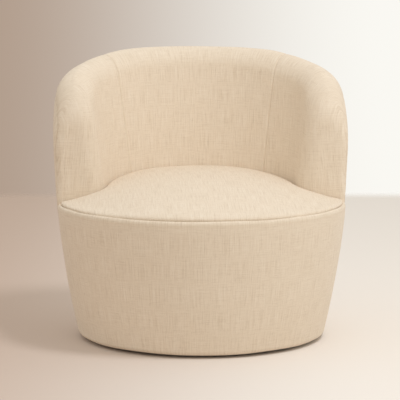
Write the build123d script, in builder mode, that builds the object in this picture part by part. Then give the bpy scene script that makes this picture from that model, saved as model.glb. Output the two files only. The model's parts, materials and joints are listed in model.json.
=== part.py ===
from build123d import *
from math import atan, cos, radians, sin, sqrt, tan
import os

os.makedirs("parts", exist_ok=True)

# ---------------------------------------------------------------------------
# Swivel barrel chair.  Millimetres, +Z up, the sitter faces -Y.
# The origin is on the floor, on the axis of the swivel.
# ---------------------------------------------------------------------------

# --- outline of the barrel -------------------------------------------------
belly_width = 787.0        # widest across, at the belly
belly_height = 560.0       # height of the belly above the floor
side_bow = 2350.0          # radius of the bow of the side, seen from the front
floor_gap = 12.0           # hem above the floor
hem_round = 16.0           # rounding where the cover turns under the hem

# --- rim and arms, seen from the side --------------------------------------
overall_height = 760.0     # top of the back
arm_front = 25.0           # front of the arms, ahead of the swivel axis
arm_height = 680.0         # height at which the sloping rim meets the arm front
arm_corner = 150.0         # rounding from the arm front into the rim
rim_knee = 302.0           # distance behind the axis where the rim levels out
knee_round = 500.0         # rounding of that knee
outer_roll = 50.0          # rounding of the rim and the arm fronts, outside
inner_roll = 44.0          # the same, on the sitter's side

# --- the sitter's hollow: a cone that leans back ----------------------------
rim_width = 135.5          # from the belly in to the hollow's side, at hollow_level
hollow_level = 394.0       # where the arm fronts meet the seat
hollow_ahead = 20.0        # its centre, ahead of the swivel axis, at that level
hollow_lean = 7.2          # slope of its side against its own axis, degrees
hollow_pitch = 2.9         # backward tilt of its axis, degrees
panel_angle = 46.5         # panel seams, measured from the middle of the back

# --- seat -------------------------------------------------------------------
deck_height = 336.0        # top of the plywood seat frame
border_rise = 26.0         # top edge of the front border, above the deck
border_ledge = 13.1        # width of that edge, from the seat to the outside
seat_rise = 104.0          # highest point of the crown, above the deck
crown_across = 1120.0      # radius of the crown, seen from the front
crown_along = 1700.0       # the same, seen from the side
crown_behind = 100.0       # peak of the crown, behind the swivel axis
seat_edge_round = 15.0     # rounding of the top edge

# --- thicknesses ------------------------------------------------------------
ply = 18.0                 # plywood sheet
cover = 9.0                # padded outside cover
hem_turn = 3.0             # cover turned under the hem
liner = 2.4                # fibreboard under the outside cover
back_foam = 45.0           # foam between the sitter and the frame
rim_foam = 48.0            # foam over the top rail
arm_foam = 75.0            # foam block in the arm front
foam_corner = 45.0         # rounding of the frame's corner under that foam
cover_lap = 12.0           # outside cover's edge, behind the arm front
rim_lap = 4.0              # the same, below the outer roll of the rim
border_round = 6.0         # rounding of the border's top edge
gap = 0.3                  # between neighbouring soft or curved faces
felt = 3.0                 # insulator sheet over the springs
cambric = 0.8              # dust cover
screw_head = 4.2           # radius of the countersunk heads
screw_shank = 1.9
screw_length = 45.0
screw_clearance = 0.1
past = 10.0                # cutters reach this far past what they cut
margin = 60.0              # and this far past the whole chair

# --- frame ------------------------------------------------------------------
rib_depth = 37.6           # depth of the ribs where they stand on the bottom frame
housing = 20.0             # how deep the seat frame is let into the ribs
seat_opening = 212.0       # opening of the seat frame
opening_ahead = 10.0       # its centre, ahead of the axis
frame_opening = 235.0      # inner radius of the bottom frame's ring
spider_width = 90.0        # bars of the bottom frame's cross
hub_radius = 175.0         # bottom frame's middle
back_rib_angles = (-56.0, -28.0, 0.0, 28.0, 56.0)
front_rib_angles = (-60.0, -30.0, 0.0, 30.0, 60.0)
tenon_length = 30.0
tenon_inset = 6.0          # from the ribs' inner edge to the tenon
hub_clearance = 7.0        # round the bush in the bottom frame
tenon_clearance = 0.2
slot_width = 26.0          # lightening slots in the ribs
slot_ends = 34.0           # solid plywood left at the ends of each slot

# --- swivel -----------------------------------------------------------------
base_radius = 240.0
base_screw = 1.9           # shank radius of the glides' screws
base_screw_head = 4.0
head_room = 0.5            # round their heads
plate_screw = 2.4          # shank radius of the lower plate's screws
head = 2.6                 # height of the small pan heads
glide_height = 6.0
glide_radius = 16.0
glide_circle = 205.0
glide_count = 6
plate = 3.0                # pressed steel
lower_plate_radius = 135.0
upper_plate_radius = 165.0
ball = 9.5                 # ball diameter
ball_circle = 105.0
ball_count = 12
race_depth = 1.25          # depth of the raceways
race_clearance = 0.06
cage = 2.4                 # thickness of the ball cage
cage_width = 20.0
pivot = 12.0               # pivot bolt's shank diameter
pivot_head = 7.5           # height of its head
pivot_head_across = 19.0
pivot_pocket = 9.0         # depth of the pocket for that head under the disc
pivot_thread = 3.0         # thread past the nut
pivot_nut_height = 8.0
washer = 2.5
bush_flange = 1.4
bush_wall = 3.0
running_clearance = 0.05
plate_bolt = 6.0           # bolts of the swivel plates
upper_bolt_circle = 150.0
lower_bolt_circle = 72.0
t_nut_wall = 1.2
t_nut_flange = 1.5

# --- springs ----------------------------------------------------------------
wire = 4.0
spring_count = 5
spring_pitch = 80.0        # from spring to spring
loop_width = 46.0
loop_pitch = 28.0          # from bend to bend
clip_sheet = 1.2
clip_width = 15.0

# --- sizes that follow --------------------------------------------------------
belly_radius = belly_width / 2
hollow_radius = belly_radius - rim_width
seam_height = deck_height + border_rise
seat_peak = deck_height + seat_rise
ear_round = 1.15 * seat_edge_round
base_top = glide_height + ply
lower_plate_top = base_top + plate
race_gap = ball - 2 * race_depth
ball_height = lower_plate_top + race_gap / 2
upper_plate_bottom = lower_plate_top + race_gap
frame_bottom = upper_plate_bottom + plate
frame_top = frame_bottom + ply
ring_bottom = deck_height - ply
hem_inside = floor_gap + hem_turn
liner_inset = cover + gap
rib_inset = liner_inset + liner + gap
hem_corner = hem_round / 2
side_seam = cover_lap - arm_front
frame_front = arm_foam - arm_front
rim_slope = atan((overall_height - arm_height) / (rim_knee + arm_front))
above = overall_height + margin
beyond = belly_radius + margin


# ---------------------------------------------------------------------------
# shared outlines
# ---------------------------------------------------------------------------
def barrel_radius(height, inset=0.0):
    """Outside radius of the barrel at a height: one long bow."""
    rise = height - belly_height
    return belly_radius - (side_bow - sqrt(side_bow**2 - rise**2)) - inset


def barrel_line(low, high, inset=0.0):
    """The bow of the side, drawn on the front half of the YZ plane."""
    middle = (low + high) / 2
    ends = [(-barrel_radius(z, inset), z) for z in (low, middle, high)]
    return ThreePointArc(*ends)


def rim_outline(front_inset, top_inset, low, corner, knee=True):
    """Outline seen from the side: everything behind and below the rim, set in."""
    slope = tan(rim_slope)
    front = front_inset - arm_front
    corner_top = arm_height + slope * front_inset - top_inset / cos(rim_slope)
    with BuildSketch(Plane.YZ.offset(-beyond)) as outline:
        with BuildLine():
            if knee:
                knee_y = rim_knee + top_inset * tan(rim_slope / 2)
                knee_top = overall_height - top_inset
                rim = FilletPolyline(
                    (front, low), (front, corner_top), (knee_y, knee_top), (beyond, knee_top),
                    radius=[corner, knee_round],
                )
            else:
                far_top = corner_top + slope * (beyond - front)
                rim = FilletPolyline(
                    (front, low), (front, corner_top), (beyond, far_top), radius=corner
                )
            Polyline(rim @ 1, (beyond, low), rim @ 0)
        make_face()
    return outline.sketch


def barrel_core(inset, low):
    """The barrel behind the arm fronts, with its rolled outer edge, set in all round."""
    with BuildPart() as core:
        with BuildSketch(Plane.YZ):
            with BuildLine():
                side = barrel_line(low, above, inset)
                Polyline(side @ 1, (0, above), (0, low), side @ 0)
            make_face()
        revolve(axis=Axis.Z)
        outline = rim_outline(inset, inset, low - past, arm_corner - inset)
        extrude(outline, amount=2 * beyond, dir=(1, 0, 0), mode=Mode.INTERSECT)
        side_face = core.faces().filter_by(GeomType.REVOLUTION).sort_by(SortBy.AREA)[-1]
        rim_edges = [e for e in side_face.edges() if e.center().Z > low + 1]
        fillet(rim_edges, outer_roll - inset)
    return core.part


def hollow(inset, low):
    """The sitter's hollow, grown by inset, above a height."""
    tilt = radians(hollow_pitch)
    centre = (0, -hollow_ahead, hollow_level)
    side = Plane(origin=centre, x_dir=(0, cos(tilt), -sin(tilt)), z_dir=(1, 0, 0))
    slope = tan(radians(hollow_lean))
    down, up = -hollow_level / 2, above - hollow_level
    with BuildPart() as space:
        with BuildSketch(side):
            with BuildLine():
                Polyline(
                    (0, down),
                    (-(hollow_radius + inset + down * slope), down),
                    (-(hollow_radius + inset + up * slope), up),
                    (0, up),
                    close=True,
                )
            make_face()
        revolve(axis=Axis(centre, (0, sin(tilt), cos(tilt))))
        split(bisect_by=Plane.XY.offset(low), keep=Keep.TOP)
    return space.part


def tub_form(grow=0.0):
    """Outline of the upholstered back and arms above the seat frame."""
    with BuildPart() as form:
        add(barrel_core(-grow, deck_height + gap))
        add(hollow(-grow, deck_height - past), mode=Mode.SUBTRACT)
        inner_face = form.faces().filter_by(GeomType.CONE).sort_by(SortBy.AREA)[-1]
        rim_edges = [e for e in inner_face.edges() if e.center().Z > deck_height + 1]
        fillet(rim_edges, inner_roll)
    return form.part


def barrel_disc(inset, low, high):
    """Solid slice of the barrel between two heights, set in."""
    with BuildPart() as disc:
        with BuildSketch(Plane.YZ):
            with BuildLine():
                side = barrel_line(low, high, inset)
                Polyline(side @ 1, (0, high), (0, low), side @ 0)
            make_face()
        revolve(axis=Axis.Z)
    return disc.part


def barrel_shell(outer_inset, inner_inset, low, high):
    """A closed ring that follows the bow between two insets."""
    with BuildPart() as shell:
        with BuildSketch(Plane.YZ):
            with BuildLine():
                outer = barrel_line(low, high, outer_inset)
                inner = barrel_line(low, high, inner_inset)
                Line(outer @ 0, inner @ 0)
                Line(outer @ 1, inner @ 1)
            make_face()
        revolve(axis=Axis.Z)
    return shell.part


def seam_plane(side, clearance):
    """Radial plane of a panel seam; its normal points to the wing of that side."""
    angle = radians(panel_angle)
    normal = Vector(side * cos(angle), -sin(angle), 0)
    return Plane(origin=normal * clearance, z_dir=normal)


def finish(builder, label):
    builder.part.label = label
    export_step(builder.part, "parts/" + label + ".step")


# ---------------------------------------------------------------------------
# base on the floor
# ---------------------------------------------------------------------------
glide_spots = PolarLocations(glide_circle, glide_count)
lower_screw_spots = PolarLocations(lower_bolt_circle, 4, start_angle=45)
upper_bolt_spots = PolarLocations(upper_bolt_circle, 4, start_angle=45)
glide_bore = base_screw + screw_clearance

with BuildPart() as base_disc:
    with BuildSketch(Plane.XY.offset(glide_height)):
        Circle(base_radius)
    extrude(amount=ply)
    fillet(base_disc.edges().filter_by(GeomType.CIRCLE), ply / 6)
    with BuildSketch(Plane.XY.offset(glide_height)):
        Circle(pivot_head_across * 0.7)
    extrude(amount=pivot_pocket, mode=Mode.SUBTRACT)
    with BuildSketch(Plane.XY.offset(glide_height)):
        Circle(pivot / 2)
    extrude(amount=ply, mode=Mode.SUBTRACT)
    with BuildSketch(Plane.XY.offset(glide_height)):
        with glide_spots:
            Circle(glide_bore)
        with lower_screw_spots:
            Circle(plate_screw + screw_clearance)
    extrude(amount=ply, mode=Mode.SUBTRACT)
finish(base_disc, "base_disc")

with BuildPart() as floor_glides:
    with BuildSketch(Plane.XY):
        with glide_spots:
            Circle(glide_radius)
    extrude(amount=glide_height)
    chamfer(floor_glides.edges().group_by(Axis.Z)[0], glide_height / 5)
    with BuildSketch(Plane.XY):
        with glide_spots:
            Circle(base_screw_head + head_room)
    extrude(amount=glide_height / 2, mode=Mode.SUBTRACT)
    with BuildSketch(Plane.XY):
        with glide_spots:
            Circle(glide_bore)
    extrude(amount=glide_height, mode=Mode.SUBTRACT)
finish(floor_glides, "floor_glides")

with BuildPart() as glide_screws:
    with BuildSketch(Plane.XY.offset(glide_height / 6)):
        with glide_spots:
            Circle(base_screw_head)
    extrude(amount=glide_height / 3)
    with BuildSketch(Plane.XY.offset(glide_height / 2)):
        with glide_spots:
            Circle(base_screw)
    extrude(amount=glide_height / 2 + ply * 0.8)
finish(glide_screws, "glide_screws")


def swivel_plate(radius, bottom, hole, bolt_spots, bolt_hole):
    """Round pressed plate with its centre hole, bolt holes and raceway."""
    with BuildPart() as sheet:
        with BuildSketch(Plane.XY.offset(bottom)):
            Circle(radius)
            Circle(hole, mode=Mode.SUBTRACT)
            with bolt_spots:
                Circle(bolt_hole, mode=Mode.SUBTRACT)
        extrude(amount=plate)
        with BuildSketch(Plane.YZ):
            with Locations((-ball_circle, ball_height)):
                Circle(ball / 2 + race_clearance)
        revolve(axis=Axis.Z, mode=Mode.SUBTRACT)
    return sheet


lower_swivel_plate = swivel_plate(
    lower_plate_radius, base_top, pivot / 2, lower_screw_spots, plate_bolt / 2
)
finish(lower_swivel_plate, "lower_swivel_plate")

with BuildPart() as lower_plate_screws:
    with BuildSketch(Plane.XY.offset(lower_plate_top)):
        with lower_screw_spots:
            Circle(plate_bolt * 0.9)
    extrude(amount=head)
    with BuildSketch(Plane.XY.offset(lower_plate_top)):
        with lower_screw_spots:
            Circle(plate_screw)
    extrude(amount=-(plate + ply * 0.8))
finish(lower_plate_screws, "lower_plate_screws")

bush_top = frame_bottom + bush_flange
washer_bottom = bush_top + running_clearance
washer_top = washer_bottom + washer
pivot_shoulder = glide_height + pivot_pocket
pivot_end = washer_top + pivot_nut_height + pivot_thread

with BuildPart() as pivot_bolt:
    with BuildSketch(Plane.XY.offset(pivot_shoulder)):
        RegularPolygon(pivot_head_across / 2, 6, major_radius=False)
    extrude(amount=-pivot_head)
    with BuildSketch(Plane.XY.offset(pivot_shoulder)):
        Circle(pivot / 2)
    extrude(amount=pivot_end - pivot_shoulder)
    chamfer(pivot_bolt.edges().group_by(Axis.Z)[-1], pivot / 12)
finish(pivot_bolt, "pivot_bolt")

with BuildPart() as pivot_washer:
    with BuildSketch(Plane.XY.offset(washer_bottom)):
        Circle(pivot)
        Circle(pivot / 2, mode=Mode.SUBTRACT)
    extrude(amount=washer)
finish(pivot_washer, "pivot_washer")

with BuildPart() as pivot_nut:
    with BuildSketch(Plane.XY.offset(washer_top)):
        RegularPolygon(pivot_head_across / 2, 6, major_radius=False)
        Circle(pivot / 2, mode=Mode.SUBTRACT)
    extrude(amount=pivot_nut_height)
finish(pivot_nut, "pivot_nut")

# ---------------------------------------------------------------------------
# ball bearing
# ---------------------------------------------------------------------------
ball_spots = PolarLocations(ball_circle, ball_count)

with BuildPart() as ball_cage:
    with BuildSketch(Plane.XY.offset(ball_height - cage / 2)):
        Circle(ball_circle + cage_width / 2)
        Circle(ball_circle - cage_width / 2, mode=Mode.SUBTRACT)
        with ball_spots:
            Circle(ball / 2 + gap, mode=Mode.SUBTRACT)
    extrude(amount=cage)
finish(ball_cage, "ball_cage")

with BuildPart() as bearing_balls:
    with BuildSketch(Plane.XZ):
        with BuildLine():
            arc = CenterArc((ball_circle, ball_height), ball / 2, -90, 180)
            Line(arc @ 1, arc @ 0)
        make_face()
    revolve(axis=Axis((ball_circle, 0, 0), (0, 0, 1)))
    one_ball = bearing_balls.part
with BuildPart() as bearing_balls:
    with PolarLocations(0, ball_count):
        add(one_ball)
finish(bearing_balls, "bearing_balls")

# ---------------------------------------------------------------------------
# turning half of the swivel
# ---------------------------------------------------------------------------
bush_radius = pivot / 2 + bush_wall
upper_swivel_plate = swivel_plate(
    upper_plate_radius, upper_plate_bottom, bush_radius, upper_bolt_spots, plate_bolt / 2
)
finish(upper_swivel_plate, "upper_swivel_plate")

with BuildPart() as pivot_bush:
    with BuildSketch(Plane.XY.offset(upper_plate_bottom)):
        Circle(bush_radius)
    extrude(amount=plate)
    with BuildSketch(Plane.XY.offset(frame_bottom)):
        Circle(bush_radius + bush_wall)
    extrude(amount=bush_flange)
    with BuildSketch(Plane.XY.offset(upper_plate_bottom)):
        Circle(pivot / 2 + running_clearance)
    extrude(amount=plate + bush_flange, mode=Mode.SUBTRACT)
finish(pivot_bush, "pivot_bush")

with BuildPart() as upper_plate_bolts:
    with BuildSketch(Plane.XY.offset(upper_plate_bottom)):
        with upper_bolt_spots:
            Circle(plate_bolt * 0.9)
    extrude(amount=-head)
    with BuildSketch(Plane.XY.offset(upper_plate_bottom)):
        with upper_bolt_spots:
            Circle(plate_bolt / 2)
    extrude(amount=plate + ply)
finish(upper_plate_bolts, "upper_plate_bolts")

t_nut_barrel = plate_bolt / 2 + t_nut_wall

with BuildPart() as frame_t_nuts:
    with BuildSketch(Plane.XY.offset(frame_top)):
        with upper_bolt_spots:
            Circle(plate_bolt * 1.6)
    extrude(amount=t_nut_flange)
    with BuildSketch(Plane.XY.offset(frame_top)):
        with upper_bolt_spots:
            Circle(t_nut_barrel)
    extrude(amount=-ply / 2)
    with BuildSketch(Plane.XY.offset(frame_bottom)):
        with upper_bolt_spots:
            Circle(plate_bolt / 2)
    extrude(amount=2 * ply, mode=Mode.SUBTRACT)
finish(frame_t_nuts, "frame_t_nuts")

# ---------------------------------------------------------------------------
# plywood frame
# ---------------------------------------------------------------------------
post_radius = barrel_radius(frame_bottom, rib_inset) - rib_depth
tenon_radius = post_radius + tenon_length / 2 + tenon_inset
post_y = frame_front + foam_corner
post_x = sqrt(tenon_radius**2 - post_y**2)
back_tenons = [(tenon_radius, 90.0 - a) for a in back_rib_angles]
front_tenons = [(tenon_radius, -90.0 - a) for a in front_rib_angles]


def polar_places(places):
    """Locations at (radius, angle) pairs, turned to point outwards."""
    return [
        Location((r * cos(radians(a)), r * sin(radians(a)), 0), (0, 0, a)) for r, a in places
    ]


post_places = [
    Location((side * post_x, post_y, 0), (0, 0, 90 * (1 - side))) for side in (1, -1)
]
rib_places = polar_places(back_tenons + front_tenons)

with BuildPart() as bottom_frame:
    with BuildSketch(Plane.XY.offset(frame_bottom)):
        Circle(barrel_radius(frame_bottom, rib_inset))
        Circle(frame_opening, mode=Mode.SUBTRACT)
        Rectangle(2 * frame_opening + ply, spider_width)
        Rectangle(spider_width, 2 * frame_opening + ply)
        Circle(hub_radius)
        Circle(bush_radius + bush_wall + hub_clearance, mode=Mode.SUBTRACT)
        with upper_bolt_spots:
            Circle(t_nut_barrel, mode=Mode.SUBTRACT)
        with Locations(*rib_places, *post_places):
            Rectangle(
                tenon_length + 2 * tenon_clearance, ply + 2 * tenon_clearance, mode=Mode.SUBTRACT
            )
    extrude(amount=ply)
finish(bottom_frame, "bottom_frame")

with BuildPart() as hem_ring:
    add(barrel_disc(cover + gap, hem_inside + gap, frame_bottom))
    with BuildSketch(Plane.XY.offset(hem_inside)):
        Circle(post_radius)
    extrude(amount=frame_bottom - hem_inside, mode=Mode.SUBTRACT)
    outer_edge = hem_ring.edges().group_by(Axis.Z)[0].sort_by(SortBy.LENGTH)[-1]
    chamfer(outer_edge, hem_corner)
finish(hem_ring, "hem_ring")

# round behind, where it is let into the ribs, and as wide as the barrel in front
with BuildPart() as seat_frame:
    add(barrel_disc(rib_inset, ring_bottom, deck_height))
    split(bisect_by=Plane.XZ.offset(gap - frame_front), keep=Keep.TOP)
    with BuildSketch(Plane.XY.offset(ring_bottom)):
        Circle(post_radius + housing)
    extrude(amount=ply)
    with BuildSketch(Plane.XY.offset(ring_bottom)):
        with Locations((0, -opening_ahead)):
            Circle(seat_opening)
    extrude(amount=ply, mode=Mode.SUBTRACT)
finish(seat_frame, "seat_frame")


def frame_space(clearance, top_inset, low, wall=rib_inset - gap):
    """Room for the wooden frame between the foam and the outside, above a height."""
    with BuildPart() as space:
        add(barrel_disc(wall + clearance, low, above))
        insets = (arm_foam + clearance, top_inset + clearance)
        outline = rim_outline(*insets, low - past, foam_corner, knee=False)
        extrude(outline, amount=2 * beyond, dir=(1, 0, 0), mode=Mode.INTERSECT)
        add(hollow(back_foam + clearance, deck_height), mode=Mode.SUBTRACT)
        if low < deck_height:
            with BuildSketch(Plane.XY.offset(low)):
                Circle(post_radius)
            extrude(amount=deck_height - low, mode=Mode.SUBTRACT)
    return space.part


rib_space = frame_space(gap, rim_foam + ply, frame_top)


# the top rail is one flat C of plywood that lies at the slope of the rim
rail_inset = rim_foam + gap
rail_normal = Vector(0, -sin(rim_slope), cos(rim_slope))
rail_radius = (hollow_radius + back_foam + inner_roll / 2 + belly_radius - rib_inset) / 2
rail_angles = [radians(a) for a in back_rib_angles]
screw_spots = [(rail_radius * sin(a), rail_radius * cos(a)) for a in rail_angles]
screw_spots += [(s * sqrt(rail_radius**2 - post_y**2), post_y) for s in (-1, 1)]


def rail_plane(x, y):
    """Plane on the rail's upper face, square to the rail."""
    rise = (y + arm_front) * tan(rim_slope) - rail_inset / cos(rim_slope)
    return Plane((x, y, arm_height + rise), x_dir=(1, 0, 0), z_dir=rail_normal)


screw_planes = [rail_plane(x, y) for x, y in screw_spots]

with BuildPart() as pilot_holes:
    for plane in screw_planes:
        with BuildSketch(plane):
            Circle(screw_shank + screw_clearance)
        extrude(amount=-screw_length)


def upright(places, low_end, top):
    """Plywood uprights at places, cut to the frame's room, with tenons and slots."""
    with BuildPart() as ribs:
        for place in places:
            across = Plane(place.position + Vector(0, 0, frame_top), x_dir=place.x_axis.direction)
            with Locations(across):
                Box(belly_radius / 2, ply, above, align=(Align.CENTER, Align.CENTER, Align.MIN))
        add(top, mode=Mode.INTERSECT)
        add(seat_frame.part, mode=Mode.SUBTRACT)
        add(pilot_holes.part, mode=Mode.SUBTRACT)
        for place in places:
            across = Plane(place.position + Vector(0, 0, frame_top), x_dir=place.x_axis.direction)
            with Locations(across):
                Box(tenon_length, ply, ply, align=(Align.CENTER, Align.CENTER, Align.MAX))
            outward = place.x_axis.direction
            slot_radius = (post_radius + barrel_radius(low_end, rib_inset)) / 2
            middle = place.position + outward * (slot_radius - tenon_radius)
            flat = Plane(
                middle + Vector(0, 0, (low_end + ring_bottom - slot_ends) / 2),
                x_dir=(0, 0, 1),
                z_dir=outward.cross(Vector(0, 0, 1)),
            )
            with BuildSketch(flat):
                SlotOverall(ring_bottom - slot_ends - low_end, slot_width)
            extrude(amount=ply, both=True, mode=Mode.SUBTRACT)
    return ribs


slot_low = frame_top + 2 * slot_ends
back_ribs = upright(polar_places(back_tenons), slot_low, rib_space)
finish(back_ribs, "back_ribs")
for side, name in ((1, "right"), (-1, "left")):
    post = upright([post_places[0 if side == 1 else 1]], slot_low, rib_space)
    finish(post, name + "_arm_post")

with BuildPart() as front_space:
    add(barrel_disc(rib_inset, frame_top, ring_bottom))
    with BuildSketch(Plane.XY.offset(frame_top)):
        Circle(post_radius)
    extrude(amount=ring_bottom - frame_top, mode=Mode.SUBTRACT)
front_ribs = upright(polar_places(front_tenons), slot_low, front_space.part)
finish(front_ribs, "front_ribs")

with BuildPart() as top_rail:
    add(frame_space(gap, rim_foam, deck_height))
    under_rail = rim_outline(0, rim_foam + ply + gap, deck_height - past, foam_corner, knee=False)
    extrude(under_rail, amount=2 * beyond, dir=(1, 0, 0), mode=Mode.SUBTRACT)
    with Locations(*screw_planes):
        CounterSinkHole(
            screw_shank + screw_clearance,
            screw_head + screw_clearance,
            depth=ply,
            counter_sink_angle=90,
        )
finish(top_rail, "top_rail")

with BuildPart() as rail_screws:
    for plane in screw_planes:
        cone = screw_head - screw_shank
        with BuildSketch(plane):
            Circle(screw_head)
        extrude(amount=-cone, taper=45)
        with BuildSketch(plane):
            Circle(screw_shank)
        extrude(amount=-screw_length)
finish(rail_screws, "rail_screws")

# ---------------------------------------------------------------------------
# springs and deck
# ---------------------------------------------------------------------------
spring_height = deck_height + clip_sheet + wire / 2
spring_top = spring_height + wire / 2
spring_rows = [spring_pitch * (n - (spring_count - 1) / 2) for n in range(spring_count)]
clip_reach = clip_width * 0.8


def spring_ends(x):
    """Where a spring at x meets its clips on the edges of the opening."""
    half = sqrt(seat_opening**2 - x**2) + clip_reach
    return -opening_ahead - half, -opening_ahead + half


def spring_path(x):
    """Zigzag of one sinuous spring: bends with cut corners, at an even pitch."""
    front, back = spring_ends(x)
    bends = 2 * round((back - front) / loop_pitch / 2) + 1
    step = (back - front) / bends
    side, corner = loop_width / 2, step / 3
    points = [(x, front)]
    for n in range(bends):
        y, s = front + n * step, side * (-1) ** n
        points += [(x + s - corner * (-1) ** n, y), (x + s, y + corner)]
        points += [(x + s, y + step - corner), (x + s - corner * (-1) ** n, y + step)]
    points.append((x, back))
    return [(px, py, spring_height) for px, py in points]


with BuildPart() as seat_springs:
    for x in spring_rows:
        points = spring_path(x)
        with BuildLine() as route:
            Polyline(*points)
        with BuildSketch(Plane(points[0], z_dir=Vector(*points[1]) - Vector(*points[0]))):
            RegularPolygon(wire / 2, 4, major_radius=False, rotation=45)
        sweep(path=route.line, transition=Transition.RIGHT)
finish(seat_springs, "seat_springs")

with BuildPart() as spring_clips:
    for x in spring_rows:
        front, back = spring_ends(x)
        for y, inward in ((front, 1), (back, -1)):
            foot = clip_sheet - running_clearance
            section = Plane((x, y, deck_height), x_dir=(0, inward, 0), z_dir=(inward, 0, 0))
            with BuildSketch(section):
                with Locations((0, 0)):
                    Rectangle(clip_width, foot, align=(Align.CENTER, Align.MIN))
                with Locations((-clip_width / 2, 0)):
                    Rectangle(foot, wire + 2 * clip_sheet, align=(Align.MIN, Align.MIN))
                with Locations((-clip_width / 2, wire + clip_sheet + running_clearance)):
                    Rectangle(clip_width / 2, foot, align=(Align.MIN, Align.MIN))
            extrude(amount=clip_width / 2, both=True)
finish(spring_clips, "spring_clips")

insulator_bottom = spring_top + clip_sheet
insulator_radius = seat_opening + clip_width
pocket_top = insulator_bottom + felt + gap

with BuildPart() as spring_insulator:
    with BuildSketch(Plane.XY.offset(insulator_bottom)):
        with Locations((0, -opening_ahead)):
            Circle(insulator_radius)
    extrude(amount=felt)
finish(spring_insulator, "spring_insulator")

# ---------------------------------------------------------------------------
# soft parts
# ---------------------------------------------------------------------------
seat_bottom = deck_height + gap
seat_side = barrel_radius(seam_height) - border_ledge


def under_crown():
    """Room under the crown: an arc across the seat, swung from front to back."""
    low = seat_bottom - beyond
    edge_drop = crown_across - sqrt(crown_across**2 - beyond**2)
    swing = Axis((0, crown_behind, seat_peak - crown_along), (1, 0, 0))
    with BuildPart() as room:
        with BuildSketch(Plane.XZ.offset(-crown_behind)):
            with BuildLine():
                edge = seat_peak - edge_drop
                across = ThreePointArc((-beyond, edge), (0, seat_peak), (beyond, edge))
                Polyline(across @ 1, (beyond, low), (-beyond, low), across @ 0)
            make_face()
        revolve(axis=swing)
    return room.part


with BuildPart() as seat_pad:
    with BuildSketch(Plane.XY.offset(seat_bottom)):
        Circle(seat_side)
        with Locations((0, -arm_front - gap)):
            behind = (Align.CENTER, Align.MIN)
            Rectangle(2 * beyond, beyond, align=behind, mode=Mode.SUBTRACT)
        fillet(vertices(), ear_round)
    extrude(amount=seat_peak - seat_bottom)
    add(hollow(-gap, seat_bottom))
    split(bisect_by=Plane.XY.offset(seat_peak), keep=Keep.BOTTOM)
    throat = seat_pad.edges().filter_by_position(Axis.Y, -arm_front - 2 * gap, -arm_front)
    throat = throat.filter_by(lambda e: abs(e.center().X) < hollow_radius + inner_roll / 2)
    fillet(throat.filter_by(lambda e: e.bounding_box().size.Z > seat_edge_round), inner_roll)
    add(under_crown(), mode=Mode.INTERSECT)
    crown = seat_pad.faces().sort_by(Axis.Z)[-1]
    fillet(crown.edges(), seat_edge_round)
    with BuildSketch(Plane.XY.offset(seat_bottom)):
        with Locations((0, -opening_ahead)):
            Circle(seat_opening + clip_reach + clip_width)
    extrude(amount=pocket_top - seat_bottom, mode=Mode.SUBTRACT)
finish(seat_pad, "seat_pad")

# the upholstered back and arms: foam and cover over the frame, in three panels
lap_corner = arm_corner - outer_roll

with BuildPart() as skin_room:
    add(barrel_core(-gap, deck_height - past))
    add(barrel_core(liner_inset, deck_height - 2 * past), mode=Mode.SUBTRACT)
    insets = (cover_lap - gap, outer_roll + rim_lap - gap)
    lap = rim_outline(*insets, deck_height - 2 * past, lap_corner)
    extrude(lap, amount=2 * beyond, dir=(1, 0, 0), mode=Mode.INTERSECT)

with BuildPart() as upholstery:
    add(tub_form())
    add(skin_room.part, mode=Mode.SUBTRACT)
    pocket = frame_space(-gap, rim_foam - gap, deck_height - past, wall=liner_inset)
    add(pocket, mode=Mode.SUBTRACT)

with BuildPart() as inside_back_pad:
    add(upholstery.part)
    for side in (1, -1):
        split(bisect_by=seam_plane(side, -gap / 2), keep=Keep.BOTTOM)
finish(inside_back_pad, "inside_back_pad")

with BuildPart() as right_wing_pad:
    add(upholstery.part)
    split(bisect_by=seam_plane(1, gap / 2), keep=Keep.TOP)
finish(right_wing_pad, "right_wing_pad")

with BuildPart() as left_wing_pad:
    add(right_wing_pad.part)
    mirror(about=Plane.YZ, mode=Mode.REPLACE)
finish(left_wing_pad, "left_wing_pad")


# ---------------------------------------------------------------------------
# outside covers
# ---------------------------------------------------------------------------
def hem_profile(wall_top, top, ledge):
    """Section of a cover from its turned-under hem to its top edge, on the YZ plane.

    Its ledge is the corners between the top of the outside and the top of the wall.
    """
    with BuildSketch(Plane.YZ) as profile:
        with BuildLine():
            outer = barrel_line(floor_gap, top)
            inner = barrel_line(hem_inside + hem_corner, wall_top, cover)
            Polyline(outer @ 1, *ledge, inner @ 1)
            Polyline(
                inner @ 0,
                (-barrel_radius(hem_inside, cover + hem_corner), hem_inside),
                (-post_radius, hem_inside),
                (-post_radius, floor_gap),
                outer @ 0,
            )
        make_face()
        fillet(vertices().group_by(Axis.Y)[0].sort_by(Axis.X)[0], hem_round)
        if ledge:
            fillet(vertices().group_by(Axis.Y)[-1].sort_by(Axis.X)[0], border_round)
    return profile.sketch


with BuildPart() as outside_cover:
    revolve(hem_profile(seam_height, seam_height, []), axis=Axis.Z)
    add(barrel_core(0, seam_height))
    add(barrel_disc(0, seam_height - hem_turn, seam_height))
    add(barrel_core(cover, seam_height - hem_turn), mode=Mode.SUBTRACT)
    lap = rim_outline(cover_lap, outer_roll + rim_lap, -floor_gap, lap_corner)
    extrude(lap, amount=2 * beyond, dir=(1, 0, 0), mode=Mode.INTERSECT)
    split(bisect_by=Plane.XZ.offset(-side_seam - gap / 2), keep=Keep.BOTTOM)

with BuildPart() as outside_back_panel:
    add(outside_cover.part)
    for side in (1, -1):
        split(bisect_by=seam_plane(side, -gap / 2), keep=Keep.BOTTOM)
finish(outside_back_panel, "outside_back_panel")

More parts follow.
